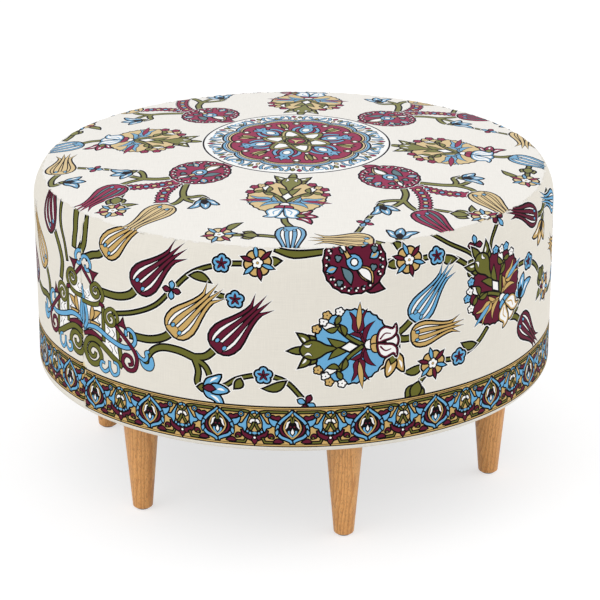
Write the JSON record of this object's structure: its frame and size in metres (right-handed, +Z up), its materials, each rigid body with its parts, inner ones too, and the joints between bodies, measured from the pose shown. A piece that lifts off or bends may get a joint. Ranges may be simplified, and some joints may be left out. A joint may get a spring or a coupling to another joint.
{
  "type": "round pouf",
  "caption": "Round upholstered pouf with a domed padded top, printed fabric sides with a border, and plain tapered wooden legs.",
  "frame": {"origin": "on the floor, under the drum's axis", "axes": "+Z up; the picture was taken from the -Y side, with +X to its right"},
  "size_m": [0.6, 0.6, 0.3755],
  "materials": {
    "print_fabric": "plain-weave cotton, printed",
    "leg_wood": "turned beech, clear satin varnish",
    "plywood": "raw plywood",
    "pine": "sawn softwood",
    "hardboard": "raw hardboard",
    "foam": "open-cell foam",
    "wadding": "polyester wadding",
    "dust_cloth": "black non-woven cloth",
    "zinc_steel": "zinc plated",
    "staple_steel": "galvanised",
    "nylon": "moulded"
  },
  "bodies": {
    "root": {"top_cover": "print_fabric", "side_cover_front": "print_fabric", "side_cover_back": "print_fabric", "base_board": "plywood", "top_board": "plywood", "side_wrap": "hardboard", "side_foam": "foam", "seat_foam": "foam", "seat_wadding": "wadding", "dust_cover": "dust_cloth", "base_screws": "zinc_steel", "top_screws": "zinc_steel", "leg_bolts": "zinc_steel", "t_nuts": "zinc_steel", "hem_staples": "staple_steel", "dust_cover_staples": "staple_steel", "leg_glides": "nylon", "leg_1": "leg_wood", "leg_2": "leg_wood", "leg_3": "leg_wood", "leg_4": "leg_wood", "leg_5": "leg_wood", "leg_6": "leg_wood", "post_1": "pine", "post_2": "pine", "post_3": "pine", "post_4": "pine", "post_5": "pine", "post_6": "pine"}
  },
  "joints": []
}
